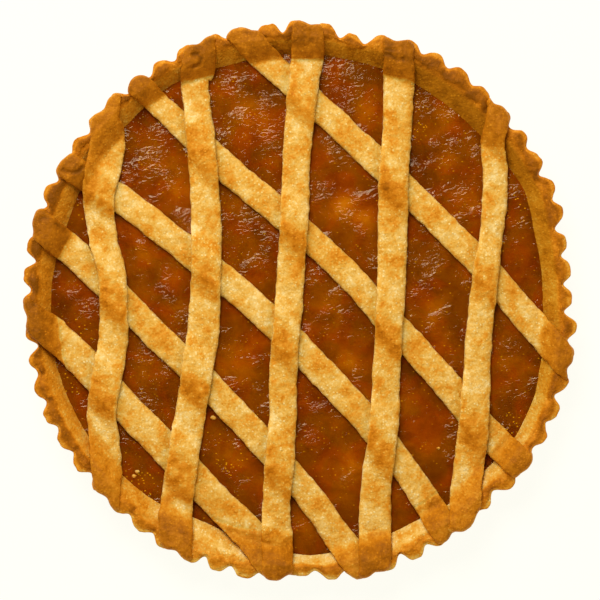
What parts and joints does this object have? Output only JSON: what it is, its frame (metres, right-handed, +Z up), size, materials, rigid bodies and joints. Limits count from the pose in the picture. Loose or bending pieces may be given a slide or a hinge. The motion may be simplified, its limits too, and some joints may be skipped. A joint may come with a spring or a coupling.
{
  "type": "apricot crostata",
  "caption": "Round open tart with a fluted shortcrust shell, an apricot jam filling and a lattice of pastry strips laid aslant over it.",
  "frame": {"origin": "middle of the flat underside, on the surface that the tart stands on", "axes": "+Z up through the middle of the tart; the upper strips run along Y, and the lower strips fall from -X +Y towards +X -Y"},
  "size_m": [0.2566, 0.2595, 0.0282],
  "materials": {
    "browned_pastry": "baked shortcrust, deep golden brown, matt and slightly lumpy",
    "pastry": "baked shortcrust, pale gold with brown patches, matt and grainy",
    "jam": "thick apricot jam, amber brown, glossy and wrinkled"
  },
  "bodies": {
    "root": {"crust": "browned_pastry", "jam": "jam", "lower_strip_1": "pastry", "lower_strip_2": "pastry", "lower_strip_3": "pastry", "lower_strip_4": "pastry", "lower_strip_5": "pastry", "upper_strip_1": "pastry", "upper_strip_2": "pastry", "upper_strip_3": "pastry", "upper_strip_4": "pastry", "upper_strip_5": "pastry"}
  },
  "joints": []
}
